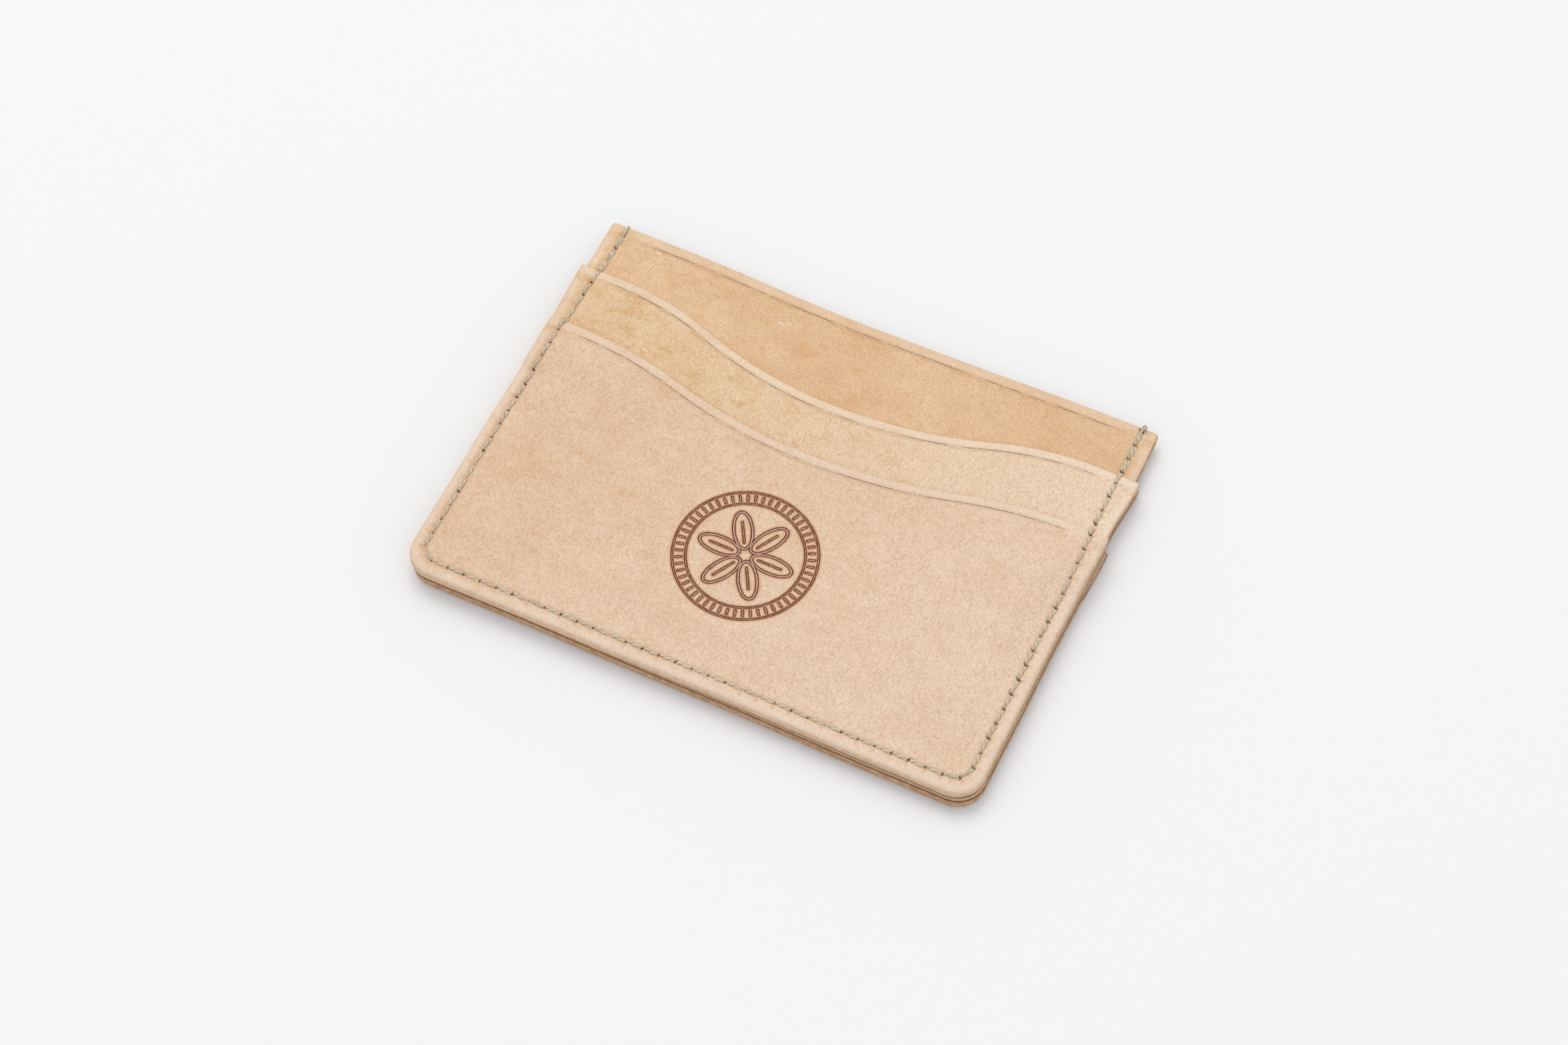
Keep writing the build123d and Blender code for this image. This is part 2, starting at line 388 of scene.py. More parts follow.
def settle(where):
    """The small crookedness of hand cutting and sewing, the same for every layer, and how
    the thin top end sinks towards the table."""
    x, y = where[:, 0], where[:, 1]
    wave = 0.10 * np.sin(y / 11 + 0.6) + 0.05 * np.sin(y / 4.3)
    moved = np.array(where)
    moved[:, 0] = x + wave * ease(np.abs(x), 20, 50)
    moved[:, 1] = y + 0.08 * np.sin(x / 17 + 1.0) + 0.05 * np.sin(x / 6.1)
    moved[:, 2] -= top_sinks * ease(y, 12, top_y)
    return moved


def write_notes(piece, notes):
    """Keeps a number for each point of the piece, for its finish to read."""
    for name, values in notes.items():
        note = piece.data.attributes.new(name, "FLOAT", "POINT")
        note.data.foreach_set("value", values.astype(np.float32))


def read_note(piece, name):
    values = np.zeros(len(piece.data.vertices), dtype=np.float32)
    piece.data.attributes[name].data.foreach_get("value", values)
    return values.astype(float)


thinnest = 0.04


def leather_piece(
    name,
    half_width,
    low_y,
    mouth,
    corners,
    heights,
    rounds,
    rear,
    off,
    flare=0,
    flush=0,
    wraps=0,
    also=(),
):
    """Cuts, shapes and thickens one layer. mouth is (y, dip, run, share, crease); corners
    are the radii at its foot and mouth; heights and rounds give its faces and their edges.
    off is how far it has slipped at the foot and at the right. flare widens it at the right
    of its mouth and flush below y 15. wraps is how far its burnished rim is rubbed down
    over the edge of the next layer, and also are more columns."""
    mouth_y, dip, run, share, crease = mouth
    columns = gathered(-half_width, half_width, pitch / 4, also)
    piece = blank(name, columns, gathered(low_y, mouth_y, pitch / 4))
    where = points(piece)
    from_edge = np.minimum(half_width - np.abs(where[:, 0]), mouth_y - where[:, 1])
    if corners[0]:
        from_edge = np.minimum(from_edge, where[:, 1] - low_y)
        low_corner = round_corners(where, half_width, low_y, -1, corners[0])
        from_edge = np.where(low_corner < 1e8, low_corner, from_edge)
    top_corner = round_corners(where, half_width, mouth_y, 1, corners[1])
    from_edge = np.where(top_corner < 1e8, top_corner, from_edge)
    below_mouth = mouth_y - where[:, 1]
    drop = mouth_y - mouth_line(where[:, 0], mouth_y, dip, run, share)
    follow = 1 - np.clip((below_mouth - 5) / (mouth_y - low_y - 6), 0, 1)
    where[:, 1] -= drop * follow
    put(piece, where)
    notes = {"from_edge": from_edge, "below_mouth": below_mouth}

    if not corners[0]:
        notes = grow_tail(piece, notes)
    write_notes(piece, notes)
    select_only(piece)
    bpy.ops.object.mode_set(mode="EDIT")
    bpy.ops.mesh.select_all(action="SELECT")
    bpy.ops.mesh.extrude_region_move(TRANSFORM_OT_translate={"value": (0, 0, -1)})
    bpy.ops.mesh.select_all(action="SELECT")
    bpy.ops.mesh.normals_make_consistent(inside=False)
    bpy.ops.object.mode_set(mode="OBJECT")

    where = points(piece)
    lower_side = ease(np.abs(where[:, 0]), 45, 51) * ease(where[:, 1], 16, 14.5)
    where[:, 0] += flush * np.sign(where[:, 0]) * lower_side
    where[:, 0] += flare * ease(where[:, 0], 44, 51) * ease(where[:, 1], mouth_y - 12, mouth_y - 1)
    where[:, 0] += off[0] * ease(where[:, 1], 38, 5)
    where[:, 1] += off[1] * ease(where[:, 0], -45, 45)
    x, y, upper = where[:, 0], where[:, 1], where[:, 2] > -0.5
    from_edge = read_note(piece, "from_edge")
    press = 0.07 * np.exp(-(((read_note(piece, "below_mouth") - crease) / 0.16) ** 2))
    press *= ease(np.abs(x), 47, 41)
    slope = 0.14 * (1 - ease(from_edge, 0, 1.8))
    top, under = heights
    top_round, under_round = rounds
    high = top(x, y) - rolled(from_edge, top_round(x, y)) - slope
    high -= seam_dent(x, y) + press
    low = under(x, y) + rolled(from_edge, under_round(x, y))
    low -= wraps * ease(from_edge, 0.14, 0.04) * ease(y, 4.6, 3.4)
    where[:, 2] = np.where(upper, np.maximum(high, low + thinnest), low)
    along, inside = along_seam(x, y)
    write_notes(piece, {"along": along, "inside": inside, "outside": upper.astype(float)})
    if rear:
        where[:, 2] = 2 * z_middle - where[:, 2]
        piece.data.flip_normals()
    put(piece, settle(where) * mm)
    select_only(piece)
    bpy.ops.object.shade_smooth_by_angle(angle=radians(75))
    return piece


def colour_chart(name, light, deep, golden):
    return name, colour(*light), colour(*deep), colour(*golden)


# Painted light among the colours below: the shoulder pale is a painted highlight, and the crease,
# rear edge, foot, gap, inner face, seam and slit colours are painted shade.
scuff_brown, scuff_pale = colour(204, 156, 108), colour(246, 226, 204)
speckle_brown, speckle_pale = colour(190, 138, 92), colour(248, 230, 210)
dry_pale, pore_brown = colour(240, 216, 192), colour(150, 104, 66)
rubbed_pale, shoulder_painted_highlight = colour(238, 216, 194), colour(240, 218, 196)
crease_painted_shade, crease_burnt = colour(186, 140, 96), colour(112, 72, 38)
burnished, rear_edge_painted_shade = colour(202, 154, 102), colour(166, 118, 72)
foot_painted_contact_shadow, gap_painted_shade = colour(156, 124, 116), colour(80, 50, 30)
inner_face_painted_shade, handled = colour(96, 60, 36), colour(206, 150, 96)
seam_groove_painted_shade, lip_brown, slit_painted_shade = colour(190, 146, 104), colour(150, 105, 66), colour(58, 38, 24)


def leather_finish(
    chart, seed, crease, rubbed_share, golden_share, pale_share, inner_shade_share, stamp=None
):
    """Undyed vegetable-tanned leather: cloudy colour, fine speckle and pores, a lighter
    rubbed band above the crease, burnished edges, and small slits at the stitches. Painted
    light as well: a painted highlight on the rounded shoulder, and painted shade round the
    crease, on the rear half's edge, at its foot, in the gap between the halves, on the full
    panels' inner faces, along the seam and in the slits."""
    name, light, deep, gold = chart
    hide = Finish(name)
    place = hide.place()
    cloud = hide.noise(place, 19, 3, 0.55, seed)
    mottle = hide.noise(place, 4.4, 5, 0.62, seed + 2)
    patch = hide.noise(hide.place((1, 1.9, 1)), 5.5, 6, 0.72, seed + 5)
    speck = hide.noise(place, 0.3, 3, 0.7, seed + 7)
    fibre = hide.noise(hide.place((1.0, 0.4, 1.0)), 0.26, 2, 0.7, seed + 9)
    cells = hide.node("ShaderNodeTexVoronoi", {}, {"Vector": place, "Scale": 1.5})
    pore = 1 - cells.ramp(0.05, 0.22)
    pore = pore * hide.noise(place, 2.5, 2, 0.5, seed + 11).ramp(0.52, 0.64)
    tone = cloud.ramp(0.32, 0.68) * 0.55 + mottle.ramp(0.36, 0.66) * 0.45
    skin = hide.mix(tone, light, deep)
    skin = hide.mix(patch.ramp(0.51, 0.64) * golden_share, skin, gold)
    scuff = hide.noise(hide.place((0.7, 2.2, 1)), 2.2, 4, 0.7, seed + 21)
    skin = hide.mix(scuff.ramp(0.56, 0.7) * 0.3, skin, scuff_brown)
    skin = hide.mix(scuff.ramp(0.44, 0.3) * 0.3, skin, scuff_pale)
    across = hide.node("ShaderNodeSeparateXYZ", {}, {"Vector": place}, 0)
    upwards = hide.node("ShaderNodeSeparateXYZ", {}, {"Vector": place}, 1)
    drift = across - upwards * 0.8 + cloud * 60 - 30
    skin = hide.mix(drift.ramp(-45, 60) * pale_share, skin, dry_pale)
    speckle = speck.ramp(0.46, 0.64) * 0.3 + fibre.ramp(0.46, 0.64) * 0.26
    skin = hide.mix(speckle, skin, speckle_brown)
    skin = hide.mix(speck.ramp(0.5, 0.3) * 0.26, skin, speckle_pale)
    skin = hide.mix(pore * 0.35, skin, pore_brown)

    below = hide.along("below_mouth")
    middle = abs(across).ramp(47.5, 42)
    wander = hide.noise(place, 5, 2, 0.5, seed + 13) * 0.16 - 0.08
    off_line = abs(below - crease + wander)
    firm = hide.noise(place, 4, 4, 0.7, seed + 3).ramp(0.36, 0.56)
    second = abs(below - crease - 0.5 + wander).ramp(0.1, 0.02) * middle * (1 - firm * 0.6)
    line = (off_line.ramp(0.11, 0.02) * firm).most(second * 0.35) * middle
    rubbed = below.ramp(crease + 0.1, crease - 0.35)
    skin = hide.mix(rubbed * rubbed_share, skin, rubbed_pale)
    # Painted shade: a soft darker band either side of the crease, as the shade of its groove.
    skin = hide.mix(off_line.ramp(0.7, 0.1) * middle * 0.2, skin, crease_painted_shade)
    skin = hide.mix(line * 0.6, skin, crease_burnt)

    rim = hide.along("from_edge")
    # Painted highlight: the rounded shoulder between the seam and the edge is painted paler, where
    # it turns to the light.
    shoulder = rim.ramp(2.1, 1.0) * below.ramp(2.5, 4)
    skin = hide.mix(shoulder * 0.35, skin, shoulder_painted_highlight)
    edge = rim.ramp(0.45, 0.0)
    level = hide.node("ShaderNodeSeparateXYZ", {}, {"Vector": place}, 2)
    grime_and_painted_shade = hide.noise(place, 1.3, 4, 0.7, seed + 15).ramp(0.34, 0.66)
    skin = hide.mix(edge * (0.25 + grime_and_painted_shade * 0.4), skin, burnished)
    # Painted shade: the rear half's burnished edge, under the front half, is painted darker and
    # browner in uneven patches.
    behind = edge * level.ramp(z_middle + 0.15, z_middle - 0.15)
    skin = hide.mix(behind * (0.5 + grime_and_painted_shade * 0.4), skin, rear_edge_painted_shade)
    # Painted contact shadow: the lowest part of the edge, next to the table, is painted a dull
    # purplish brown.
    foot = edge * level.ramp(1.3, 0.6)
    skin = hide.mix(foot * 0.5, skin, foot_painted_contact_shadow)
    # Painted shade in the gap between the front and rear halves, low on the holder.
    gap = edge * abs(level - z_middle - 0.22).ramp(0.22, 0.12) * upwards.ramp(12, 5)
    skin = hide.mix(gap * drift.ramp(-70, -20) * 0.6, skin, gap_painted_shade)
    # Painted shade: the full panels' inner faces, where they meet in the middle of the holder, are
    # painted dark brown away from their edges.
    inner_shade = (1 - hide.along("outside")) * rim.ramp(0.35, 0.55) * inner_shade_share
    skin = hide.mix(inner_shade * 0.9, skin, inner_face_painted_shade)

    hole = (hide.along("along") - first_hole) / pitch
    inside = hide.along("inside")
    count = hole.sum("ROUND")
    ahead = (hole - count) * pitch
    slit_long, slit_wide = abs(ahead + inside) * 0.707, abs(ahead - inside) * 0.707
    chance = hide.node(
        "ShaderNodeTexWhiteNoise", {"noise_dimensions": "1D"}, {"W": count + seed}
    )
    pulled = across.ramp(30, 48)
    reach = chance * 0.36 + 0.02 + pulled * 0.2
    slit = (slit_long / reach).ramp(1.0, 0.6) * (slit_wide - pulled * 0.05).ramp(0.2, 0.1)
    lip = (slit_long / reach).ramp(2.0, 0.9) * slit_wide.ramp(0.5, 0.15)
    smudge = (ahead * ahead * 1.6 + (inside + 0.85) * (inside + 0.85)).root().ramp(0.75, 0.2)
    rub = hide.noise(place, 0.9, 3, 0.7, seed + 19).ramp(0.4, 0.62)
    skin = hide.mix(smudge * rub * 0.45, skin, handled)
    # Painted shade along the seam's groove.
    skin = hide.mix(abs(inside).ramp(0.75, 0.25) * 0.15, skin, seam_groove_painted_shade)
    skin = hide.mix(lip * 0.35, skin, lip_brown)
    # Painted shade: each punched slit is painted near black, as the shade inside the hole.
    skin = hide.mix(slit * (0.5 + chance * 0.45), skin, slit_painted_shade)

    relief = speck * 0.022 + fibre * 0.02 + mottle * 0.08 - pore * 0.03
    relief = relief - line * 0.08 - slit * 0.25
    rough = 0.62 - rubbed * 0.06 - edge * 0.12 + mottle * 0.12
    if stamp:
        skin, sunk = stamp(hide, skin)
        relief = relief - sunk * 0.25
        rough = rough + sunk * 0.2
    hide.set(Base_Color=skin, Roughness=rough, Normal=hide.bump(relief))
    hide.shader.inputs["Specular IOR Level"].default_value = 0.3
    return hide


def fit_leather(piece, node, look):
    piece.data.materials.clear()
    piece.data.materials.append(look.made)
    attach(piece, "root")
    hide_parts(node)


def full_top(x, y):
    return z_full + 0 * x


def full_under(x, y):
    return z_middle + 0 * x


def full_round(x, y):
    """Rolled where it is the outermost layer, square under the pockets."""
    return 0.02 + 0.48 * ease(y, 27.6, 28.6)


def gap_round(x, y):
    """The two halves of the holder are rounded towards the gap between them."""
    return 0.3 + 0 * x


full_mouth = (top_y, 1.0, 46.0, 0.5, 2.2)
full_chart = colour_chart("full_panel_leather", (230, 193, 151), (219, 176, 130), (211, 158, 98))
full_look = leather_finish(
    full_chart,
    seed=17.3,
    crease=full_mouth[-1],
    rubbed_share=0.2,
    golden_share=0.35,
    pale_share=0.0,
    inner_shade_share=1.0,
)
panel_foot_y = bottom_y + 0.12
for side, rear, off in (("front", False, (0, 0)), ("rear", True, (0.3, -0.42))):
    piece = leather_piece(
        side + "_full_panel_leather",
        half_width=full_half_width,
        low_y=panel_foot_y,
        mouth=full_mouth,
        corners=(bottom_radius, 0.7),
        heights=(full_top, full_under),
        rounds=(full_round, gap_round),
        rear=rear,
        off=off,
        flush=0.2,
    )
    fit_leather(piece, side + "_full_panel", full_look)


# T pockets: thinner leather in the shape of a T. Two ears reach into the side seams, and
# the narrower tail hangs free of them and is sewn to the full panel along its foot, under
# the outer pocket. Its curved mouth is creased like the others.

mid_half_width, mid_waist = 52.1, 51.7
mid_mouth = (28.0, 8.2, 45.0, 0.60, 1.9)
ear_y, tail_half_width = 5.0, 45.5
tail_steps = 0.4, 10, 10, 8.5, 0.5


def grow_tail(piece, notes):
    """Pulls the tail down from between the ears."""
    bpy.ops.object.mode_set(mode="OBJECT")
    for group in (piece.data.vertices, piece.data.edges, piece.data.polygons):
        group.foreach_set("select", [False] * len(group))
    crossings = piece.data.vertices
    for edge in piece.data.edges:
        a, b = (crossings[v].co for v in edge.vertices)
        low = max(a.y, b.y) < ear_y + 0.001
        edge.select = low and max(abs(a.x), abs(b.x)) < tail_half_width + 0.001
    count = len(crossings)
    bpy.ops.object.mode_set(mode="EDIT")
    bpy.ops.mesh.select_mode(type="EDGE")
    for step in tail_steps:
        bpy.ops.mesh.extrude_region_move(TRANSFORM_OT_translate={"value": (0, -step, 0)})
    bpy.ops.object.mode_set(mode="OBJECT")
    added = np.zeros(len(piece.data.vertices) - count)
    return {
        "from_edge": np.append(notes["from_edge"], added + 9),
        "below_mouth": np.append(notes["below_mouth"], added + 30),
    }


def mid_top(x, y):
    """The front pocket of two cards stands a little proud in its middle."""
    return z_mid + 0.15 * ease(np.abs(x), 47, 20) * ease(y, 10, 18)


def mid_under(x, y):
    return mid_top(x, y) - pocket_leather


def mid_round(x, y):
    return 0.02 + 0.38 * ease(y, 14.6, 15.6)


def mid_foot(x, y):
    return 0.02 + 0 * x


mid_chart = colour_chart("mid_pocket_leather", (231, 201, 162), (222, 184, 138), (210, 160, 98))
mid_look = leather_finish(
    mid_chart,
    seed=31.9,
    crease=mid_mouth[-1],
    rubbed_share=0.4,
    golden_share=0.6,
    pale_share=0.75,
    inner_shade_share=0.0,
)
for side, rear, off in (("front", False, (0, 0)), ("rear", True, (0.1, 0.2))):
    piece = leather_piece(
        side + "_mid_pocket_leather",
        half_width=mid_half_width,
        low_y=ear_y,
        mouth=mid_mouth,
        corners=(0, 0.4),
        heights=(mid_top, mid_under),
        rounds=(mid_round, mid_foot),
        rear=rear,
        off=off,
        flare=0.35,
        also=(-tail_half_width, tail_half_width),
    )
    where = points(piece) / mm
    tuck = (mid_half_width - mid_waist) * ease(where[:, 1], 28, 16)
    where[:, 0] -= np.sign(where[:, 0]) * tuck * ease(np.abs(where[:, 0]), 47, 51)
    put(piece, where * mm)
    fit_leather(piece, side + "_mid_pocket", mid_look)


# Foot seams of the T pockets: two strands of waxed linen thread, saddle stitched through
# the tail and the full panel. Each dips through a slit, lies along the leather to the
# next one and dips back, on the other side from the other strand.

thread_radius = 0.275
hole_depth = 0.42
ply_count, ply_length, ply_depth = 2, 1.15, 0.12


def stitch(start, end, surface, turn_over, rise, steps):
    """One stitch as rows of x, y, z and radius, from hole to hole over the leather.
    start and end are (x, y) and surface gives the leather's height."""
    share = np.linspace(0, 1, steps)
    x = start[0] + (end[0] - start[0]) * share
    y = start[1] + (end[1] - start[1]) * share
    arch = 1 - np.abs(2 * share - 1) ** 3.2
    z = surface(x, y) - hole_depth + rise * arch
    z = 2 * z_middle - z if turn_over else z
    radius = thread_radius * (0.62 + 0.38 * np.sin(pi * share) ** 0.6)
    return np.column_stack([x, y, z, radius])


def thread_object(name, runs):
    """Makes the runs, each a list of x, y, z and radius, into one twisted thread."""
    bpy.ops.object.select_all(action="DESELECT")
    parts = []
    for number, run in enumerate(runs):
        run = np.asarray(run)
        run[:, :3] = settle(run[:, :3])
        data = bpy.data.curves.new(name, "CURVE")
        data.dimensions = "3D"
        data.bevel_depth = mm
        data.bevel_resolution = 3
        line = data.splines.new("POLY")
        line.points.add(len(run) - 1)
        middle = np.column_stack([run[:, :3] * mm, np.ones(len(run))])
        line.points.foreach_set("co", middle.ravel())
        line.points.foreach_set("radius", run[:, 3])
        part = bpy.data.objects.new(name, data)
        scene.collection.objects.link(part)
        select_only(part)
        bpy.ops.object.convert(target="MESH")
        part = bpy.context.object
        sides = len(part.data.vertices) // len(run)
        step = np.append(0, np.cumsum(np.linalg.norm(np.diff(run[:, :3], axis=0), axis=1)))
        ring, side = np.divmod(np.arange(len(part.data.vertices)), sides)
        phase = side / sides * 2 * pi * ply_count + step[ring] * 2 * pi / ply_length
        phase += number * 1.7
        where = points(part)
        centre = run[ring, :3] * mm
        where = centre + (where - centre) * (1 + ply_depth * np.cos(phase))[:, None]
        put(part, where)
        bpy.ops.object.mode_set(mode="EDIT")
        bpy.ops.mesh.select_all(action="SELECT")
        bpy.ops.mesh.fill_holes(sides=0)
        bpy.ops.object.mode_set(mode="OBJECT")
        write_notes(part, {"ply": 0.5 + 0.5 * np.cos(phase)})
        parts.append(part)
    bpy.ops.object.select_all(action="DESELECT")
    for part in parts:
        part.select_set(True)
    bpy.context.view_layer.objects.active = parts[0]
    if len(parts) > 1:
        bpy.ops.object.join()
    piece = bpy.context.object
    piece.name = name
    bpy.ops.object.shade_smooth()
    return piece


linen_light, linen_ply_painted_shade = colour(212, 195, 167), colour(168, 144, 114)
linen_fluff, linen_wax = colour(228, 214, 190), colour(172, 146, 116)
linen = Finish("waxed_linen_thread")
where_on = linen.place()
ply = linen.along("ply")
fuzz = linen.noise(where_on, 0.16, 3, 0.6, 5)
shade = linen.noise(where_on, 3.0, 2, 0.5, 8)
# Painted shade: the thread is darker in the grooves between its two plies.
yarn = linen.mix(ply.ramp(0.02, 0.5), linen_ply_painted_shade, linen_light)
yarn = linen.mix(fuzz.ramp(0.4, 0.7) * 0.3, yarn, linen_fluff)
yarn = linen.mix(shade.ramp(0.4, 0.65) * 0.3, yarn, linen_wax)
linen.set(Base_Color=yarn, Roughness=0.7, Normal=linen.bump(fuzz * 0.05))
linen.shader.inputs["Sheen Weight"].default_value = 0.15


def fit_thread(piece, node):
    piece.data.materials.clear()
    piece.data.materials.append(linen.made)
    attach(piece, "root")
    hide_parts(node)


tee_y, tee_half_length, tee_intervals = -22.2, 42.0, 28
tee_pitch = 2 * tee_half_length / tee_intervals
tee_shown_rise, tee_hidden_rise = 0.42, -0.05


def panel_inside(x, y):
    """The hidden face of the full panel, where it meets its twin."""
    return z_middle + 0.55 + 0 * x


for side, rear in (("front", False), ("rear", True)):
    for name, parity in (("one", 0), ("two", 1)):
        run = []
        for k in range(tee_intervals):
            x = -tee_half_length + k * tee_pitch
            ends = (x + 0.2, tee_y + 0.16), (x + tee_pitch - 0.2, tee_y - 0.16)
            if (k + parity) % 2:
                run.append(stitch(*ends, panel_inside, rear, tee_hidden_rise, 7))
            else:
                run.append(stitch(*ends, mid_top, rear, tee_shown_rise, 7))
        piece = thread_object(side + "_tee_linen_" + name, [np.concatenate(run)])
        fit_thread(piece, side + "_tee_thread_" + name)


# Outer pockets: one more piece of the same leather on each side, 1 mm thick. The rim lies
# flat in the seam and the middle is lifted by the T pocket under it. The mouth is creased,
# the edges are rounded and burnished together, and both faces are oiled.

outer_half_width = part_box("front_outer_pocket")[1].x / mm
outer_mouth = (15.25, 6.8, 47.0, 0.56, 1.9)


def outer_top(x, y):
    """Lies flat in the seam, and on the T pocket's tail and ears everywhere else."""
    across = 1 - ease(np.abs(x), 43.2, 48.4)
    body = across * ease(y, -34.5, -25.5)
    lifted = 1 - (1 - body) * (1 - ease(y, 2.6, 5.8))
    swell = 0.3 * ease(np.abs(x), 47, 8) * ease(y, -34, -8)
    return z_band + pocket_leather * lifted + swell


def outer_under(x, y):
    """Glued down along the sides, first to the full panel and then to the T pocket's ear."""
    glued = ease(np.abs(x), 46.5, 48.5)
    step = z_full + pocket_leather * ease(y, 4.2, 5.2)
    return (outer_top(x, y) - leather) * (1 - glued) + step * glued


def outer_rear_top(x, y):
    """Pressed flat by the table. Its rim has sagged towards it, but the seam draws it in
    far enough to keep the thread off the table."""
    level = z_band + pocket_leather
    drawn_in = 0.25 * ease(np.abs(x), 46.5, 48.4)
    return level - np.maximum(0.45 * (level - outer_top(x, y)), drawn_in)


def outer_round(x, y):
    """Rubbed well round at the sides and foot, less at the mouth."""
    return 0.82 - 0.4 * ease(y, 4, 9) * ease(np.abs(x), 50, 47)


stamp_middle = (-0.5, -14.0)
stamp_ring, stamp_inner_ring = 12.1, 9.9
bar_count, bar_start, bar_end = 54, 10.55, 11.45
petal_count, petal_middle, petal_half_length, petal_half_width = 6, 4.75, 3.55, 1.55
rib_start, rib_end = 2.4, 6.4
stamp_halo, stamp_burnt = colour(196, 120, 58), colour(112, 48, 14)
stamp_floor = colour(216, 184, 164)


def rosette(hide, skin):
    """A hot stamp pressed into the skin: two rings with short bars between them and six
    petals with a rib. Every line has scorched brown flanks and a paler floor."""
    place = hide.place()
    x = hide.node("ShaderNodeSeparateXYZ", {}, {"Vector": place}, 0) - stamp_middle[0]
    y = hide.node("ShaderNodeSeparateXYZ", {}, {"Vector": place}, 1) - stamp_middle[1]
    radius = (x * x + y * y).root()
    angle = y.sum("ARCTAN2", x)

    def turned(count):
        step = 2 * pi / count
        return angle - (angle / step).sum("ROUND") * step

    def spokes(count, start, end):
        """Distance from short radial bars."""
        side = radius * turned(count).sum("SINE")
        reach = radius * turned(count).sum("COSINE")
        past = reach - reach.most(start).least(end)
        return (side * side + past * past).root()

    tilt = turned(petal_count)
    out = (radius * tilt.sum("COSINE") - petal_middle) / petal_half_length
    side = radius * tilt.sum("SINE") / petal_half_width
    size = (out * out + side * side).root()
    steep_out, steep_side = out / petal_half_length, side / petal_half_width
    steep = (steep_out * steep_out + steep_side * steep_side).root() + 0.02
    petal = abs((size - 1) * size / steep)
    ring = abs(radius - stamp_ring).least(abs(radius - stamp_inner_ring))
    gap = petal.least(ring + 0.05).least(spokes(bar_count, bar_start, bar_end) + 0.02)
    gap = gap.least(spokes(petal_count, rib_start, rib_end) + 0.04)
    ragged = hide.noise(place, 0.35, 2, 0.6, 47)
    gap = gap + (ragged - 0.5) * 0.16
    front = hide.node("ShaderNodeSeparateXYZ", {}, {"Vector": place}, 2).ramp(3.5, 4.5)
    uneven = hide.noise(place, 1.2, 3, 0.6, 41)
    burnt = gap.ramp(0.36, 0.22) * front
    skin = hide.mix(gap.ramp(0.8, 0.25) * front * (0.2 + uneven * 0.7), skin, stamp_halo)
    skin = hide.mix(burnt * (0.7 + uneven * 0.4), skin, stamp_burnt)
    skin = hide.mix(gap.ramp(0.11, 0.04) * front * 0.85, skin, stamp_floor)
    return skin, gap.ramp(0.4, 0.12) * front


outer_chart = colour_chart(
    "outer_pocket_leather", (229, 197, 165), (219, 181, 144), (212, 168, 118)
)
outer_look = leather_finish(
    outer_chart,
    seed=3.1,
    crease=outer_mouth[-1],
    rubbed_share=0.3,
    golden_share=0.4,
    pale_share=0.4,
    inner_shade_share=0.0,
    stamp=rosette,
)
for side, rear, off in (("front", False, (0, 0)), ("rear", True, (0.38, -0.48))):
    piece = leather_piece(
        side + "_outer_pocket_leather",
        half_width=outer_half_width,
        low_y=bottom_y,
        mouth=outer_mouth,
        corners=(bottom_radius, 0.45),
        heights=(outer_rear_top if rear else outer_top, outer_under),
        rounds=(outer_round, mid_foot),
        rear=rear,
        off=off,
        flare=0.45,
        wraps=0.85 if rear else 0.68,
    )
    fit_leather(piece, side + "_outer_pocket", outer_look)


# Saddle seam: two strands of the same waxed linen thread down one side, along the foot and
# up the other, through every layer. Each stitch leans across its slits, the last three on
# both sides are sewn twice, and the ends go over the top edge, with a knot at the right.


def seam_place(along):
    """The point of the seam this far along it, and its directions along and inwards."""
    if along < seam_side or along > seam_length - seam_side:
        left = along < seam_side
        y = seam_top_y - (along if left else seam_length - along)
        x = seam_half_width(y) * (-1 if left else 1)
        return np.array([x, y]), np.array([0, -1 if left else 1]), np.array([1 if left else -1, 0])
    centre = seam_x - seam_radius
    turned = along - seam_side
    if seam_corner < turned < seam_corner + 2 * centre:
        x = turned - seam_corner - centre
        return np.array([x, seam_bottom_y]), np.array([1, 0]), np.array([0, 1])
    left = turned < seam_corner
    turn = turned / seam_radius if left else (turned - 2 * centre) / seam_radius
    inwards = np.array([cos(turn), sin(turn)])
    middle = np.array([-centre if left else centre, seam_bottom_y + seam_radius])
    return middle - inwards * seam_radius, np.array([inwards[1], -inwards[0]]), inwards


def seam_surface(x, y, pocket_top=outer_top):
    """The face of whichever layer is on top in the seam."""
    pocket = pocket_top(x, y) + (z_mid - pocket_top(x, y)) * ease(y, 15.1, 15.5)
    return pocket + (z_full - z_mid) * ease(y, 27.85, 28.25)


def rear_seam_surface(x, y):
    return seam_surface(x, y, outer_rear_top)


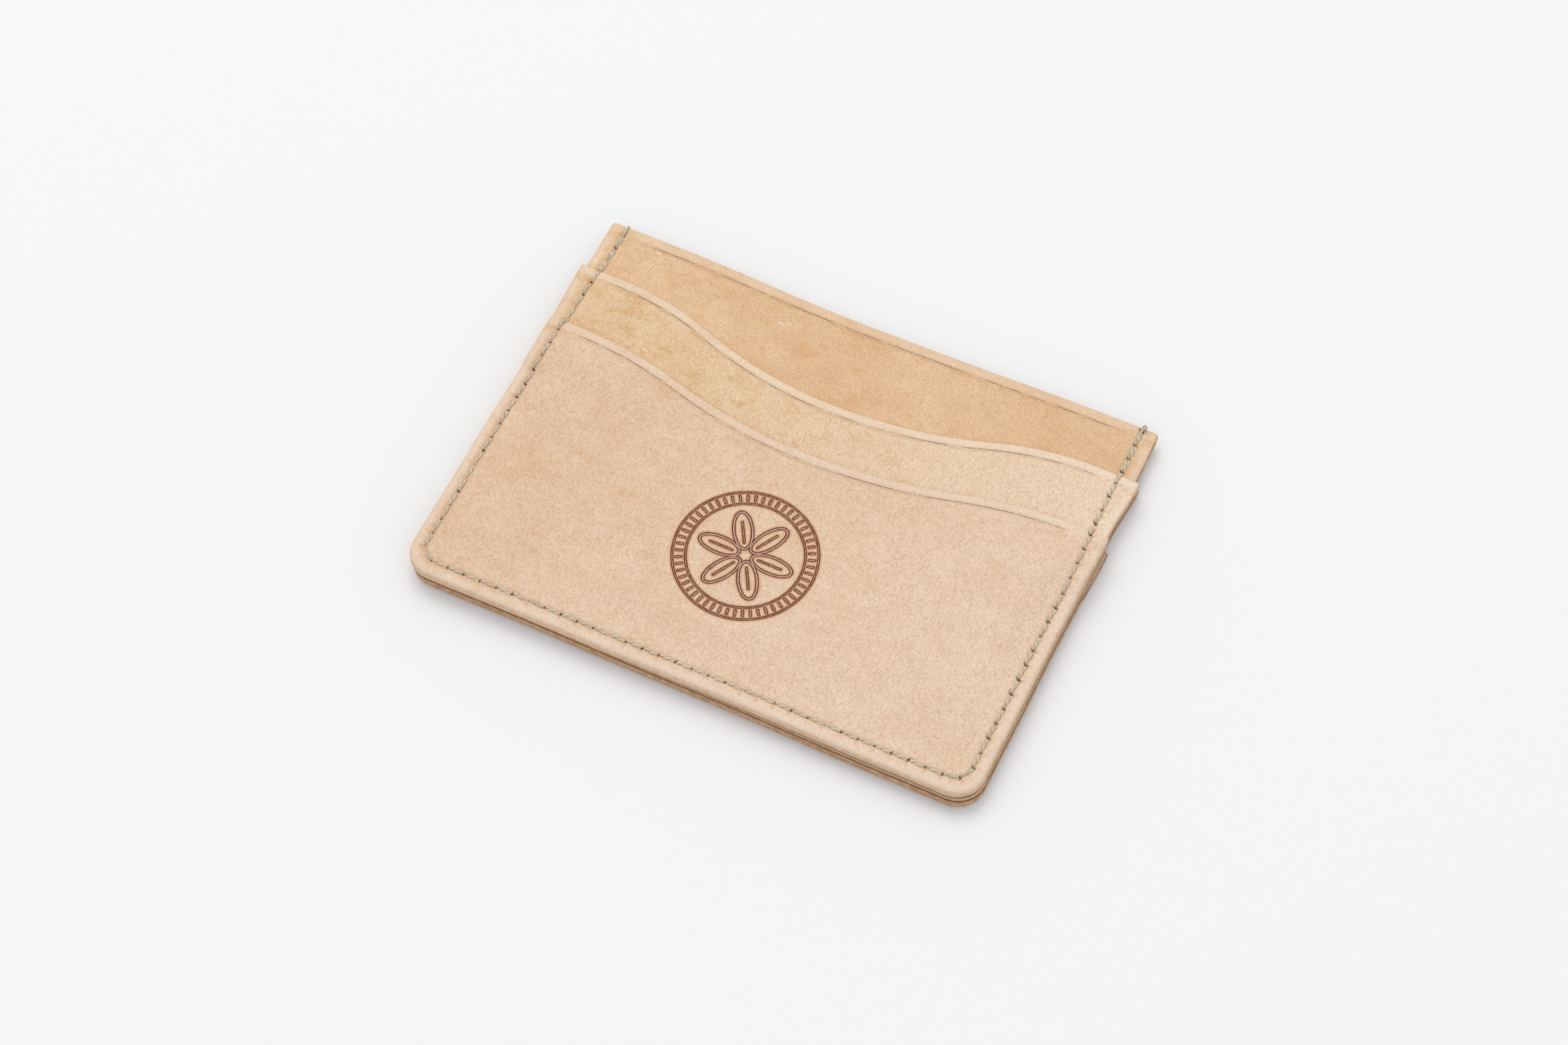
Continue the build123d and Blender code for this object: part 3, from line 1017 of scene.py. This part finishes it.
seam_rise, seam_steps, slit_lean = 0.34, 15, 0.21


def seam_stitch(k, rear, shift):
    """The stitch from slit k to the next, from the upper end of one to the lower end of
    the other. shift moves it inwards, beside the strand that it doubles."""
    ends = []
    for hole, end in ((k, 1), (k + 1, -1)):
        at, ahead, inwards = seam_place(first_hole + hole * pitch)
        lean = slit_lean + 0.05 * sin(hole * 5.3)
        ends.append(at + ahead * 0.2 * end + inwards * (lean * end + shift))
    rise = seam_rise + 0.03 * sin(k * 3.7)
    face = rear_seam_surface if rear else seam_surface
    return stitch(*ends, face, rear, rise, seam_steps)


def over_the_top(x, sag):
    """A strand's turn over the top edge, from the front face to the rear one."""
    turn = np.linspace(0, pi, 13)
    y = top_y - 0.7 + (0.85 + 0.1 * sag) * np.sin(turn)
    z = z_middle + (leather + 0.12) * np.cos(turn)
    start = [[x, seam_top_y - 1.6, z_full - 0.3, 0.2], [x, seam_top_y - 1.0, z_full + 0.05, 0.24]]
    loop = [[x + 0.05 * sin(3 * t), a, b, 0.25] for t, a, b in zip(turn, y, z)]
    back = [[x, seam_top_y - 1.0, 2 * z_middle - z_full - 0.05, 0.24]]
    return np.array(start + loop + back)


doubled = (0, 1, 2, hole_count - 4, hole_count - 3, hole_count - 2)
for name, parity, shift in (("one", 0, -0.2), ("two", 1, 0.2)):
    edge_x = seam_half_width(top_y) * (1 if parity else -1)
    run = []
    for k in range(hole_count - 1):
        run.append(seam_stitch(k, bool((k + parity) % 2), shift if k in doubled else 0.0))
    runs = [np.concatenate(run)]
    for k in doubled:
        runs.append(seam_stitch(k, not (k + parity) % 2, shift))
    runs.append(over_the_top(edge_x, parity))
    if parity:
        turn = np.linspace(0, 2.6 * pi, 16)
        x = edge_x + 0.2 + 0.28 * np.cos(turn)
        y = top_y - 0.25 + 0.28 * np.sin(turn)
        z = z_full + 0.1 + 0.05 * turn
        runs.append(np.column_stack([x, y, z, 0 * turn + 0.24]))
    piece = thread_object("saddle_linen_" + name, runs)
    fit_thread(piece, "saddle_thread_" + name)
